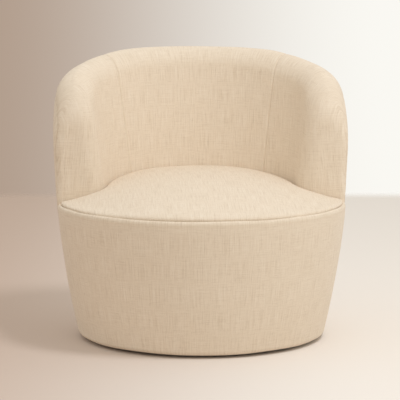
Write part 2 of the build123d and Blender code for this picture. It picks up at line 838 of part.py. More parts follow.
with BuildPart() as right_outside_panel:
    add(outside_cover.part)
    split(bisect_by=seam_plane(1, gap / 2), keep=Keep.TOP)
finish(right_outside_panel, "right_outside_panel")

with BuildPart() as left_outside_panel:
    add(right_outside_panel.part)
    mirror(about=Plane.YZ, mode=Mode.REPLACE)
finish(left_outside_panel, "left_outside_panel")

with BuildPart() as front_border:
    inside = -seat_side - gap
    ledge = [(inside, seam_height), (inside, seat_bottom)]
    revolve(hem_profile(seat_bottom, seam_height, ledge), axis=Axis.Z)
    split(bisect_by=Plane.XZ.offset(gap / 2 - side_seam), keep=Keep.TOP)
finish(front_border, "front_border")

with BuildPart() as front_liner:
    add(barrel_shell(liner_inset, liner_inset + liner, frame_bottom, deck_height))
    split(bisect_by=Plane.XZ.offset(gap - frame_front), keep=Keep.TOP)
finish(front_liner, "front_liner")

with BuildPart() as back_liner:
    add(barrel_shell(liner_inset, liner_inset + liner, frame_bottom, above))
    outline = rim_outline(arm_foam, rim_foam, floor_gap, lap_corner, knee=False)
    extrude(outline, amount=2 * beyond, dir=(1, 0, 0), mode=Mode.INTERSECT)
finish(back_liner, "back_liner")

with BuildPart() as dust_cover:
    with BuildSketch(Plane.XY.offset(frame_bottom)):
        Circle(post_radius - gap)
        Circle(upper_plate_radius + gap, mode=Mode.SUBTRACT)
    extrude(amount=-cambric)
finish(dust_cover, "dust_cover")
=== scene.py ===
"""Looks of the swivel barrel chair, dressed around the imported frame.

Metres, +Z up, the sitter faces -Y.
"""

import json
from math import atan, cos, pi, radians, sin, tan

import bmesh
import bpy
import numpy as np
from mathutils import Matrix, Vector


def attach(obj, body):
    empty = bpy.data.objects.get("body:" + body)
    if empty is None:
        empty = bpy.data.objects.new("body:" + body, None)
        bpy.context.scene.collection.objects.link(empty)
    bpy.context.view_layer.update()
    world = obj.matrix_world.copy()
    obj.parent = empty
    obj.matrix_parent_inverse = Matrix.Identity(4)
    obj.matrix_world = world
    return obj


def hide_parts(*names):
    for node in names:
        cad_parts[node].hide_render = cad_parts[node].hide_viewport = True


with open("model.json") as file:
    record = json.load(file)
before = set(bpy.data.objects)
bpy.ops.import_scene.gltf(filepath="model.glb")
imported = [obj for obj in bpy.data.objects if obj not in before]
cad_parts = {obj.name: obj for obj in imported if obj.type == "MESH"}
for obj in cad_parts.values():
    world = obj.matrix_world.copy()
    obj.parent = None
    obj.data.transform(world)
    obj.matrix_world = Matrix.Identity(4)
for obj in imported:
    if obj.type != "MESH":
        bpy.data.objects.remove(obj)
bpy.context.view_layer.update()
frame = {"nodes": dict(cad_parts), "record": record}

# ---------------------------------------------------------------------------
# the chair's sizes
# ---------------------------------------------------------------------------
BELLY_RADIUS = 0.3935      # widest radius of the barrel
BELLY_HEIGHT = 0.560       # where it is widest
SIDE_BOW = 2.350           # radius of the bow of the side
TOP = 0.7578               # top of the back
ARM_FRONT = 0.025          # front of the arms, ahead of the swivel axis
ARM_HEIGHT = 0.6785        # where the sloping rim meets the arm front
ARM_CORNER = 0.150         # rounding of that corner, seen from the side
RIM_KNEE = 0.302           # where the rim levels out behind the axis
KNEE_ROUND = 0.500         # rounding of that knee
RIM_SLOPE = atan((TOP - ARM_HEIGHT) / (RIM_KNEE + ARM_FRONT))

HOLLOW_RADIUS = 0.258      # the sitter's hollow, a cone that leans back
HOLLOW_LEVEL = 0.394       # height at which it has that radius
HOLLOW_AHEAD = 0.020       # its centre there, ahead of the swivel axis
HOLLOW_LEAN = radians(7.2)     # how far its wall spreads from its own axis
HOLLOW_PITCH = radians(2.9)    # how far its own axis leans back
PANEL_ANGLE = radians(46.5)    # seams of the back panels, from the middle of the back

SEAM_HEIGHT = 0.359        # seam between seat and border
SEAT_PEAK = 0.436          # top of the seat's crown
CROWN_ACROSS = 1.040       # radius of the seat's crown, seen from the front
CROWN_ALONG = 1.700        # the same, seen from the side
CROWN_BEHIND = 0.100       # the crown's peak, behind the swivel axis
CROWN_FOOT = 0.012         # rounding where the crown levels out near the seam
SEAT_SIDE = 0.3745         # radius of the seat's side
SEAT_EDGE = 0.015          # rounding of the seat's top edge
SEAT_SWELL = 0.0028        # how far the seat's side swells out over the seam
SWELL_FROM, SWELL_TO = -0.003, 0.007   # heights over the seam between which it does
EAR_ROUND = 0.0173         # rounding of the ears in front of the arms, seen from above
EAR_RISE = 0.0065          # the ears stand at least this high over the seam
EAR_THIN = 0.0085          # how much smaller the edge's rounding is there
EAR_ACROSS = (0.27, 0.35)      # distances from the middle over which the ears begin
EAR_ALONG = (-0.28, -0.15)     # the same along Y, towards the arms
HEM = 0.0075               # underside of the hem, which sags a little
HEM_ROUND = 0.016          # rounding where the side turns under
HEM_INNER = 0.300          # where the turned-under hem ends
BORDER_ROUND = 0.0075      # rounding of the border's top edge, inwards
BORDER_DROP = 0.0120       # the same, downwards
BORDER_LIP = 0.0025        # rounding of that edge's inner side, at the seat
EAR_LEDGE = 0.022          # room that the edge closes under the rounded ears of the seat

CREST_ROLL = 0.060         # outer rounding of the rim
CORNER_ROLL = 0.024        # the same, down the front corner of the arm
FOOT_ROLL = 0.008          # the same, where the corner meets the border
FOOT_RISE = 0.07           # height over the seam in which FOOT_ROLL grows to CORNER_ROLL
CREST_RISE = (0.50, 0.62)  # heights between which CORNER_ROLL grows to CREST_ROLL
INNER_ROLL = 0.048         # rounding on the sitter's side
COVER_LAP = 0.012          # side seam, behind the arm front
RIM_LAP = 0.058            # seam of the outside panels, below the crest
LAP_CORNER = 0.100         # rounding where these two seams meet
SIDE_SEAM_Y = COVER_LAP - ARM_FRONT
GAP = 0.0003               # clearance between neighbouring pieces


# ---------------------------------------------------------------------------
# shape functions: negative inside, zero on the surface; p is an (..., 3) array
# ---------------------------------------------------------------------------
def smooth(value, low, high):
    """0 below low, 1 above high, with a smooth rise between."""
    t = np.clip((value - low) / (high - low), 0, 1)
    return t * t * (3 - 2 * t)


def round_max(a, b, radius):
    """Both shapes at once, with a rounded edge where they meet."""
    over_a, over_b = np.maximum(a + radius, 0), np.maximum(b + radius, 0)
    return np.minimum(np.maximum(a, b), -radius) + np.hypot(over_a, over_b)


def barrel_radius(z):
    """Radius of the bowed side at a height."""
    return BELLY_RADIUS - SIDE_BOW + np.sqrt(SIDE_BOW**2 - (z - BELLY_HEIGHT) ** 2)


def outer(p):
    return np.hypot(p[..., 0], p[..., 1]) - barrel_radius(p[..., 2])


def outline(p, front_inset, top_inset, corner):
    """Distance from the outline of arms and rim, seen from the side."""
    slope_cos, slope_sin = cos(RIM_SLOPE), sin(RIM_SLOPE)
    y = p[..., 1] + ARM_FRONT - front_inset
    line_top = ARM_HEIGHT + tan(RIM_SLOPE) * front_inset - top_inset / slope_cos
    z = p[..., 2] - line_top
    ahead, above = -y, z * slope_cos - y * slope_sin
    level = p[..., 2] - (TOP - top_inset)
    distance = np.maximum(np.maximum(ahead, above), level)
    corner_y, corner_z = corner, (corner * slope_sin - corner) / slope_cos
    from_y, from_z = y - corner_y, z - corner_z
    in_corner = (from_z > 0) & (from_y * slope_cos + from_z * slope_sin < 0)
    distance = np.where(in_corner, np.hypot(from_y, from_z) - corner, distance)
    knee_z = TOP - top_inset - line_top - KNEE_ROUND
    knee_y = (KNEE_ROUND + knee_z * slope_cos) / slope_sin
    from_y, from_z = y - knee_y, z - knee_z
    in_knee = (from_y < 0) & (from_y * slope_cos + from_z * slope_sin > 0)
    return np.where(in_knee, np.hypot(from_y, from_z) - KNEE_ROUND, distance)


def rim(p):
    return outline(p, 0.0, 0.0, ARM_CORNER)


def lap(p):
    return outline(p, COVER_LAP, RIM_LAP, LAP_CORNER)


def hollow(p):
    """Positive in the sitter's hollow."""
    y, z = p[..., 1] + HOLLOW_AHEAD, p[..., 2] - HOLLOW_LEVEL
    along = y * sin(HOLLOW_PITCH) + z * cos(HOLLOW_PITCH)
    across = np.hypot(p[..., 0], y * cos(HOLLOW_PITCH) - z * sin(HOLLOW_PITCH))
    return (HOLLOW_RADIUS + along * tan(HOLLOW_LEAN) - across) * cos(HOLLOW_LEAN)


def corner_roll(z):
    """Outer rounding: small at the border, wide at the crest."""
    lower = FOOT_ROLL + (CORNER_ROLL - FOOT_ROLL) * smooth(z, SEAM_HEIGHT, SEAM_HEIGHT + FOOT_RISE)
    return lower + (CREST_ROLL - CORNER_ROLL) * smooth(z, *CREST_RISE)


def rolled(p):
    """The barrel under its rounded rim, before the hollow is cut."""
    return round_max(outer(p), rim(p), corner_roll(p[..., 2]))


def tub(p):
    """The upholstered back and arms."""
    return round_max(rolled(p), hollow(p), INNER_ROLL)


def seat(p):
    """The crowned seat with its two ears in front of the arms."""
    swell = smooth(p[..., 2], SEAM_HEIGHT + SWELL_FROM, SEAM_HEIGHT + SWELL_TO)
    side = SEAT_SIDE + SEAT_SWELL * swell
    front = round_max(np.hypot(p[..., 0], p[..., 1]) - side, p[..., 1] + ARM_FRONT + GAP, EAR_ROUND)
    plan = -round_max(-front, hollow(p) - GAP, INNER_ROLL)
    from_swing = np.hypot(p[..., 1] - CROWN_BEHIND, p[..., 2] - SEAT_PEAK + CROWN_ALONG)
    crown = np.hypot(p[..., 0], from_swing - CROWN_ALONG + CROWN_ACROSS) - CROWN_ACROSS
    crown = -round_max(-crown, SEAM_HEIGHT + EAR_RISE - p[..., 2], CROWN_FOOT)
    at_ear = smooth(np.abs(p[..., 0]), *EAR_ACROSS) * smooth(p[..., 1], *EAR_ALONG)
    return round_max(plan, crown, SEAT_EDGE - EAR_THIN * at_ear)


def halve(low, high, below, steps=30):
    """Narrows low to high, step by step, around the place where below() stops being true."""
    for _ in range(steps):
        middle = (low + high) / 2
        still = below(middle)
        low, high = np.where(still, middle, low), np.where(still, high, middle)
    return low, high


def reach(start, direction, shape, far):
    """Where rays from inside a shape leave it."""
    def inside(length):
        return shape(start + direction * length[..., None]) < 0

    count = start.shape[:-1]
    length = halve(np.zeros(count), np.full(count, far), inside, steps=26)[0]
    return start + direction * length[..., None]


def gradient(p, shape, step=0.0008):
    """Outward unit normals of a shape at points."""
    sides = []
    for axis in np.eye(3):
        sides.append(shape(p + axis * step) - shape(p - axis * step))
    normal = np.stack(sides, axis=-1)
    return normal / np.maximum(np.linalg.norm(normal, axis=-1, keepdims=True), 1e-9)


# ---------------------------------------------------------------------------
# small forms of tight upholstery
# ---------------------------------------------------------------------------
SEAM_DEPTH, SEAM_WIDTH = 0.0016, 0.0022
SWELL_DEPTH, SWELL_WIDTH = 0.0010, 0.014
PUCKER, PUCKER_LENGTH, PUCKER_REACH = 0.00035, 0.013, 0.020
PUCKER_DRIFT, PUCKER_BEAT = 1.7, 0.37      # how the spacing of the puckers wanders
WAVES, WAVE_NUMBERS = 9, (9, 28)           # slow waves in the foam, in radians per metre


def seam_dip(distance, along):
    """Depth of the surface near a seam: a narrow groove, a soft shoulder and small puckers."""
    groove = SEAM_DEPTH * np.exp(-((distance / SEAM_WIDTH) ** 2))
    shoulder = SWELL_DEPTH * np.exp(-np.abs(distance) / SWELL_WIDTH)
    phase = 2 * pi * along / PUCKER_LENGTH
    wave = np.sin(phase + PUCKER_DRIFT * np.sin(phase * PUCKER_BEAT))
    return groove + shoulder + PUCKER * (wave * np.exp(-np.abs(distance) / PUCKER_REACH))


def unevenness(p, seed, size=0.0007):
    """Slow unevenness of foam under cloth."""
    rng = np.random.default_rng(seed)
    total = np.zeros(p.shape[:-1])
    for _ in range(WAVES):
        wave = rng.normal(size=3) * rng.uniform(*WAVE_NUMBERS)
        total += np.sin(p @ wave + rng.uniform(0, 2 * pi))
    return total * size / WAVES**0.5


# ---------------------------------------------------------------------------
# meshes from grids of points
# ---------------------------------------------------------------------------
def grid_faces(rows, columns, offset=0, flip=False, wrap=False):
    """Quads of a grid whose points are stored row by row."""
    faces = []
    across = columns if wrap else columns - 1
    for i in range(rows - 1):
        for j in range(across):
            a, b = offset + i * columns + j, offset + i * columns + (j + 1) % columns
            c, d = b + columns, a + columns
            faces.append((a, d, c, b) if flip else (a, b, c, d))
    return faces


WELD = 0.00002             # points nearer than this become one
STEP_GROWTH = (1.0, 1.15, 1.35, 1.7, 2.2, 2.8)     # steps beside a seam, in finest steps


def make_mesh(name, points, faces, weave):
    """A smooth mesh object with its weave coordinates, in metres, as a UV map."""
    mesh = bpy.data.meshes.new(name)
    mesh.from_pydata(points.tolist(), [], faces)
    work = bmesh.new()
    work.from_mesh(mesh)
    bmesh.ops.remove_doubles(work, verts=work.verts, dist=WELD)
    bmesh.ops.recalc_face_normals(work, faces=work.faces)
    work.to_mesh(mesh)
    work.free()
    mesh.polygons.foreach_set("use_smooth", [True] * len(mesh.polygons))
    obj = bpy.data.objects.new(name, mesh)
    bpy.context.scene.collection.objects.link(obj)
    set_weave(obj, weave)
    return obj


def set_weave(obj, weave):
    """Writes weave coordinates that a function gives for the points of a mesh."""
    mesh = obj.data
    co = np.zeros(len(mesh.vertices) * 3)
    mesh.vertices.foreach_get("co", co)
    uv = weave(co.reshape(-1, 3))
    index = np.zeros(len(mesh.loops), dtype=np.int32)
    mesh.loops.foreach_get("vertex_index", index)
    layer = mesh.uv_layers.get("weave") or mesh.uv_layers.new(name="weave")
    layer.data.foreach_set("uv", uv[index].ravel())


def shell(name, surface, normals, thickness, weave):
    """A closed cover: a grid of points, its back a thickness behind, and its four edges."""
    rows, columns = surface.shape[:2]
    back = surface - normals * thickness
    count = rows * columns
    points = np.concatenate([surface.reshape(-1, 3), back.reshape(-1, 3)])
    faces = grid_faces(rows, columns) + grid_faces(rows, columns, count, flip=True)
    edge = list(range(columns))
    edge += [i * columns + columns - 1 for i in range(1, rows)]
    edge += [(rows - 1) * columns + j for j in range(columns - 2, -1, -1)]
    edge += [i * columns for i in range(rows - 2, 0, -1)]
    for a, b in zip(edge, edge[1:] + edge[:1]):
        faces.append((b, a, a + count, b + count))
    return make_mesh(name, points, faces, weave)


def spaced(low, high, step, fine=0.0012, low_fine=True, high_fine=True):
    """Positions from low to high with closer steps near the ends that are seams."""
    ends = [fine * growth for growth in STEP_GROWTH]
    front = np.cumsum(ends) if low_fine else np.array([])
    back = np.cumsum(ends) if high_fine else np.array([])
    a = low + (front[-1] if low_fine else 0)
    b = high - (back[-1] if high_fine else 0)
    middle = np.linspace(a, b, max(2, int(round((b - a) / step)) + 1))
    return np.concatenate([[low] if low_fine else [], low + front[:-1], middle,
                           high - back[:-1][::-1], [high] if high_fine else []])


# ---------------------------------------------------------------------------
# weave coordinates
# ---------------------------------------------------------------------------
WEAVE_TOP = 0.66           # above it the inside counts as upright
FRONT_TURN = (-0.045, 0.010)   # distances ahead of the axis over which the cloth turns to the front
FRONT_SHIFT = 0.05         # moves the cloth's pattern on the arm fronts
FAR_AHEAD, SHARP = 1.0, 0.001  # arm front and corner out of the way, for the crest's line alone
HEM_SLACK = 0.004          # inset from the wall that doesn't count as turned under
BACK_SHIFT, SEAT_SHIFT = 3.0, 7.0      # so that no two pieces repeat the same cloth
SEAT_DROP = 0.08           # most that the cloth is let down at the seat's side
NO_RADIUS = 1e-4           # keeps the middle of the seat from a division by zero


def tub_weave(p):
    """Cloth runs up the inside, over the crest, and flat across the arm fronts."""
    radius = np.hypot(p[:, 0], p[:, 1])
    angle = np.arctan2(p[:, 0], p[:, 1])
    inside = HOLLOW_RADIUS + (np.minimum(p[:, 2], WEAVE_TOP) - HOLLOW_LEVEL) * tan(HOLLOW_LEAN)
    at_front = smooth(-p[:, 1], *FRONT_TURN)
    u = angle * inside + np.sign(p[:, 0]) * np.maximum(radius - inside, 0) * at_front
    crest = outline(p, -FAR_AHEAD, 0.0, SHARP)
    crest_z = p[:, 2] - crest / cos(RIM_SLOPE)
    middle = (barrel_radius(p[:, 2]) + inside) / 2
    off = radius - middle
    over = off + np.sign(off) * np.maximum(-crest, 0)
    v = (1 - at_front) * (crest_z + over) + at_front * (p[:, 2] - FRONT_SHIFT)
    return np.stack([u, v], axis=1)


def barrel_weave(p):
    """Cloth goes round the barrel from the front and turns under at the hem."""
    angle = np.arctan2(p[:, 0], -p[:, 1])
    wall = barrel_radius(np.maximum(p[:, 2], HEM))
    under = np.maximum(wall - np.hypot(p[:, 0], p[:, 1]) - HEM_SLACK, 0)
    return np.stack([angle * BELLY_RADIUS, p[:, 2] - under], axis=1)


def back_weave(p):
    """The same, from the back."""
    turned = p * np.array([1, -1, 1])
    return barrel_weave(turned) + np.array([BACK_SHIFT, 0.0])


def seat_weave(p):
    """Cloth lies flat over the crown and goes straight down the side."""
    radius = np.maximum(np.hypot(p[:, 0], p[:, 1]), NO_RADIUS)
    centre_y = p[:, 1] - CROWN_BEHIND
    crown_z = SEAT_PEAK - p[:, 0] ** 2 / (2 * CROWN_ACROSS) - centre_y**2 / (2 * CROWN_ALONG)
    drop = np.clip(crown_z - p[:, 2], 0, SEAT_DROP)
    out = 1 + drop / radius
    return np.stack([p[:, 0] * out + SEAT_SHIFT, p[:, 1] * out], axis=1)


# ---------------------------------------------------------------------------
# tub: inside back and wings
# ---------------------------------------------------------------------------
TUB_BOTTOM = 0.342         # underside of the pads, below the seat
CORE_DEPTH = 0.048         # the core line lies this far below the rim
CORE_END = radians(85.0)   # where the core line stops behind the arm front
PAD_RECESS = 0.0042        # room under the outside panels
FACING = 0.0225            # seam down the arm front, from the outside
FACING_DEPTH, FACING_WIDTH = 0.0011, 0.0016
FACING_END = (0.56, 0.62)  # heights between which it fades out
FRONT_FACE = (0.010, 0.002)    # how far behind the arm front its flat face begins and is reached
OUTER_SIDE = (-0.016, -0.007)  # depths in the barrel between which the outside begins
RECESS_EDGE = 0.003        # width over which the pads step back under the outside panels
CORE_LOWEST = 0.45         # the core line's top is never lower
PANEL_STEP, PANEL_FINE = 0.0036, 0.0009    # widths of a panel's quads, in the open and at a seam
INNER_ROWS, FAN_ROWS, FOLD_STEPS = 76, 45, 34  # rows up a side, over the rim, round the arm front


def hollow_wall(angle, z):
    """Radius of the hollow from the swivel axis, near enough for the core line."""
    centre = -HOLLOW_AHEAD + (z - HOLLOW_LEVEL) * sin(HOLLOW_PITCH)
    return HOLLOW_RADIUS + (z - HOLLOW_LEVEL) * tan(HOLLOW_LEAN) + centre * np.cos(angle)


def radial(angle):
    """Unit vectors outwards, at angles from the back."""
    return np.stack([np.sin(angle), np.cos(angle), np.zeros_like(angle)], axis=-1)


def at_height(z):
    return np.array([0, 0, z])


def core_point(angle, z):
    """Point midway between the barrel and the hollow."""
    radius = (barrel_radius(z) + hollow_wall(angle, z)) / 2
    return radial(angle) * radius[..., None] + np.stack([0 * z, 0 * z, z], axis=-1)


def core_top(angle):
    """Height of the core line: a fixed depth below the rim."""
    def deep(z):
        return rim(core_point(angle, z)) < -CORE_DEPTH

    return halve(np.full_like(angle, CORE_LOWEST), np.full_like(angle, TOP), deep)[0]


def tub_rays(angle, swing):
    """Rays of one section: up the inside, over the rim and down the outside."""
    top = core_top(angle)
    side = radial(angle)
    ahead = np.sign(angle)[..., None] * np.stack(
        [np.cos(angle), -np.sin(angle), np.zeros_like(angle)], axis=-1)
    share = np.linspace(0, 1, INNER_ROWS)[:-1]
    starts, directions = [], []

    def add(height, lean):
        flat = side * np.sin(lean) + at_height(1.0) * np.cos(lean)
        starts.append(core_point(angle, height))
        directions.append(flat * np.cos(swing)[..., None] + ahead * np.sin(swing)[..., None])

    for s in share:
        add(TUB_BOTTOM + (top - TUB_BOTTOM) * s, -pi / 2)
    for lean in np.linspace(-pi / 2, pi / 2, FAN_ROWS):
        add(top, lean)
    for s in share[::-1]:
        add(TUB_BOTTOM + (top - TUB_BOTTOM) * s, pi / 2)
    return np.stack(starts), np.stack(directions)


def dressed_tub(p):
    """Surface offset of the pads: seams, unevenness and the room under the outside panels."""
    angle = np.arctan2(p[..., 0], p[..., 1])
    from_seam = (np.abs(angle) - PANEL_ANGLE) * np.hypot(p[..., 0], p[..., 1])
    along = p[..., 2] + np.hypot(p[..., 0], p[..., 1])
    dip = seam_dip(from_seam, along)
    outside = smooth(outer(p), *OUTER_SIDE)
    from_lap = lap(p)
    dip = dip + outside * seam_dip(from_lap, p[..., 1] + p[..., 2])
    facing = barrel_radius(p[..., 2]) - FACING - np.hypot(p[..., 0], p[..., 1])
    at_front = smooth(-p[..., 1], ARM_FRONT - FRONT_FACE[0], ARM_FRONT - FRONT_FACE[1])
    low_front = at_front * (1 - smooth(p[..., 2], *FACING_END))
    dip = dip + low_front * FACING_DEPTH * np.exp(-((facing / FACING_WIDTH) ** 2))
    recess = outside * smooth(-from_lap, 0, RECESS_EDGE)
    return dip + recess * PAD_RECESS - unevenness(p, seed=3)


def section_angles(low, high, low_fine, high_fine):
    """Angles of a panel's sections, closer together beside its seams."""
    arcs = spaced(low * HOLLOW_RADIUS, high * HOLLOW_RADIUS, PANEL_STEP,
                  PANEL_FINE, low_fine, high_fine)
    return arcs / HOLLOW_RADIUS


def pad(name, angles, swings):
    """One panel of the tub as a closed form; swings fold its last sections over the arm front."""
    start, direction = tub_rays(angles, swings)
    surface = reach(start, direction, tub, far=0.30)
    surface = surface - gradient(surface, tub) * dressed_tub(surface)[..., None]
    rows, columns = surface.shape[:2]
    faces = grid_faces(rows, columns, flip=True)
    faces.append([i * columns for i in range(rows)][::-1])
    if swings[-1] == 0:
        faces.append([i * columns + columns - 1 for i in range(rows)])
    faces.append(list(range(columns)) + list(range((rows - 1) * columns, rows * columns))[::-1])
    return make_mesh(name, surface.reshape(-1, 3), faces, tub_weave)


def wing(name, side):
    """Pad of one arm, side 1 or -1, whose last sections fold over the arm front."""
    main = section_angles(PANEL_ANGLE, CORE_END, True, False)
    turns = np.linspace(0, pi / 2, FOLD_STEPS)[1:]
    angles = np.concatenate([main, np.full(len(turns), CORE_END)])
    swings = np.concatenate([np.zeros(len(main)), turns])
    obj = pad(name, angles, swings)
    if side < 0:
        mirror(obj, tub_weave)
    return obj


def mirror(obj, weave):
    """Turns a piece into its mirror image about the YZ plane."""
    mesh = obj.data
    for vertex in mesh.vertices:
        vertex.co.x = -vertex.co.x
    mesh.flip_normals()
    set_weave(obj, weave)


# ---------------------------------------------------------------------------
# outside covers
# ---------------------------------------------------------------------------
COVER = 0.0034             # thickness of the drawn cover
HEM_TOP = HEM + HEM_ROUND
HEM_ROWS, UNDER_ROWS = 8, 5    # rows round the hem, and under the chair
CHAIR_MIDDLE = 0.30        # height that all covers face away from
ROLL_BLEND = (-0.004, 0.022)   # heights over the seam between which the rim's rounding sets in
EVEN_SHIFT = 0.07          # how far evenly spaced columns move towards a panel's seams
SIDE_LEVEL, BACK_LEVEL = 0.66, 0.70    # heights at which the barrel's radius finds the rim seam
SIDE_COLUMNS, SIDE_ROWS, BACK_ROWS = 118, 186, 180
SIDE_FIRST = (0, 0.006, 0.012, 0.020)  # rows near the rim seam, as shares of the panel's height
BACK_FIRST = (0, 0.004, 0.009, 0.016)
SIDE_REST, BACK_REST = 0.030, 0.025    # where the even rows begin
LAP_LOWEST = 0.40          # the rim seam is never lower
SIDE_SEARCH = (-0.05, 0.20)    # distances behind the axis between which the side seam lies
NO_SEAM = 1.0              # a distance at which a seam has no effect


def wall_point(angle, z):
    """Point on the barrel at an angle from the back."""
    radius = barrel_radius(z)
    return np.stack([radius * np.sin(angle), radius * np.cos(angle), z + 0 * angle], axis=-1)


def with_hem(rows, angle):
    """Adds the hem's rounding and its turned-under strip to rows of points on the wall."""
    foot = barrel_radius(HEM_TOP)
    rows = list(rows)
    for turn in np.linspace(0, pi / 2, HEM_ROWS + 1)[1:]:
        ring = radial(angle) * (foot - HEM_ROUND * (1 - cos(turn)))
        rows.append(ring + at_height(HEM_TOP - HEM_ROUND * sin(turn)))
    for radius in np.linspace(foot - HEM_ROUND, HEM_INNER, UNDER_ROWS + 1)[1:]:
        rows.append(radial(angle) * radius + at_height(HEM))
    return np.stack(rows)


def grid_normals(grid):
    """Unit normals of a grid of points, pointing out of the chair."""
    down, across = np.gradient(grid, axis=0), np.gradient(grid, axis=1)
    normal = np.cross(down, across)
    normal /= np.maximum(np.linalg.norm(normal, axis=-1, keepdims=True), 1e-12)
    facing = np.sum(normal * (grid - at_height(CHAIR_MIDDLE)), axis=-1).mean()
    return normal if facing > 0 else -normal


def lap_corner():
    """Middle of the rounded corner between rim seam and side seam, as (y, z)."""
    slope_cos, slope_sin = cos(RIM_SLOPE), sin(RIM_SLOPE)
    line_top = ARM_HEIGHT + tan(RIM_SLOPE) * COVER_LAP - RIM_LAP / slope_cos
    centre_y = SIDE_SEAM_Y + LAP_CORNER
    centre_z = line_top + (LAP_CORNER * slope_sin - LAP_CORNER) / slope_cos
    lean = RIM_SLOPE + (pi / 2 - RIM_SLOPE) / 2
    return centre_y - LAP_CORNER * np.sin(lean), centre_z + LAP_CORNER * np.cos(lean)


def lap_height(y):
    """Height of the rim seam over a distance behind the axis."""
    def under(z):
        return lap(np.stack([0 * y, y, z], axis=-1)) < 0

    return halve(np.full_like(y, LAP_LOWEST), np.full_like(y, TOP), under)[0]


def lap_front(z):
    """Distance behind the axis of the side seam at a height."""
    def ahead(y):
        return lap(np.stack([0 * z, y, z], axis=-1)) >= 0

    low, high = SIDE_SEARCH
    return halve(np.full_like(z, low), np.full_like(z, high), ahead)[1]


def outside_wall(angle, z):
    """The tub's outside at an angle from the back and a height, above the border's seam too."""
    under_rim = reach(core_point(angle, z), radial(angle), rolled, far=0.2)
    blend = smooth(z, SEAM_HEIGHT + ROLL_BLEND[0], SEAM_HEIGHT + ROLL_BLEND[1])[..., None]
    return wall_point(angle, z) * (1 - blend) + under_rim * blend


def edge_spacing(share):
    """Evenly spaced shares moved towards both ends."""
    return share - EVEN_SHIFT * np.sin(2 * pi * share)


def side_panel(name, side):
    """Outside panel: back seam, rim seam round to the side seam, and the hem.

    Its grid is blended from the angles and heights of these four edges.
    """
    share = edge_spacing(np.linspace(0, 1, SIDE_COLUMNS))
    row_share = np.concatenate([SIDE_FIRST, np.linspace(SIDE_REST, 1, SIDE_ROWS)])
    corner_y, corner_z = lap_corner()
    corner_angle = np.arccos(corner_y / barrel_radius(corner_z))
    top_angle = PANEL_ANGLE + (corner_angle - PANEL_ANGLE) * share
    top_z = lap_height(barrel_radius(SIDE_LEVEL) * np.cos(top_angle))
    top_z[-1] = corner_z
    side_z = corner_z + (HEM_TOP - corner_z) * row_share
    side_angle = np.arccos(lap_front(side_z) / barrel_radius(side_z))
    side_angle[0] = top_angle[-1]
    foot_angle = PANEL_ANGLE + (side_angle[-1] - PANEL_ANGLE) * share
    s, t = share[None, :], row_share[:, None]
    left_z = top_z[0] + (HEM_TOP - top_z[0]) * row_share
    angle = (1 - t) * top_angle[None, :] + t * foot_angle[None, :]
    angle += (1 - s) * PANEL_ANGLE + s * side_angle[:, None]
    corners = (1 - s) * PANEL_ANGLE + s * ((1 - t) * top_angle[-1] + t * foot_angle[-1])
    angle -= corners
    z = (1 - t) * top_z[None, :] + t * HEM_TOP + (1 - s) * left_z[:, None] + s * side_z[:, None]
    z -= (1 - s) * ((1 - t) * top_z[0] + t * HEM_TOP) + s * ((1 - t) * top_z[-1] + t * HEM_TOP)
    grid = with_hem(outside_wall(angle, z), angle[-1])
    normals = grid_normals(grid)
    inner_seam = np.abs(np.arctan2(grid[..., 0], grid[..., 1]) - PANEL_ANGLE) * BELLY_RADIUS
    from_side = np.abs(grid[..., 1] - SIDE_SEAM_Y)
    from_rim = np.where(grid[..., 2] > SEAM_HEIGHT, -lap(grid), from_side)
    along = grid[..., 2] + grid[..., 1]
    dip = seam_dip(inner_seam, along) + seam_dip(np.minimum(from_rim, from_side), along)
    surface = grid - normals * (dip - unevenness(grid, seed=5))[..., None]
    obj = shell(name, surface, normals, COVER, back_weave)
    if side < 0:
        mirror(obj, back_weave)
    return obj


def back_panel(name):
    """Outside panel of the back, between its two seams, from the rim seam to the hem."""
    angle = section_angles(-PANEL_ANGLE, PANEL_ANGLE, True, True)
    row_share = np.concatenate([BACK_FIRST, np.linspace(BACK_REST, 1, BACK_ROWS)])[:, None]
    top_z = lap_height(barrel_radius(BACK_LEVEL) * np.cos(angle))
    z = top_z[None, :] * (1 - row_share) + HEM_TOP * row_share
    grid = with_hem(outside_wall(np.broadcast_to(angle, z.shape), z), angle)
    normals = grid_normals(grid)
    turned = np.arctan2(grid[..., 0], grid[..., 1])
    from_side = (PANEL_ANGLE - np.abs(turned)) * BELLY_RADIUS
    from_rim = np.where(grid[..., 2] > SEAM_HEIGHT, -lap(grid), NO_SEAM)
    along = grid[..., 2] + turned * BELLY_RADIUS
    dip = seam_dip(from_side, along) + seam_dip(from_rim, along)
    surface = grid - normals * (dip - unevenness(grid, seed=6))[..., None]
    return shell(name, surface, normals, COVER, back_weave)


BORDER_STEP, BORDER_ROWS = 0.006, 77       # width of its quads, rows down its face
END_LEVEL = 0.2            # height at which its ends meet the side seams
TUCK, TUCK_TOP, TUCK_ROWS = 0.012, 0.003, 5    # strip that goes down inside, behind the edge
LIP_ROWS, EDGE_ROWS = 7, 14
SIDE_GAP = 0.0005          # between that strip and the seat's side
LEDGE_FADE = (0.014, 0.036)    # distances from its ends over which EAR_LEDGE runs out
CREASE, CREASE_BELOW, CREASE_WIDTH = 0.0010, 0.016, 0.006  # soft crease under its top edge


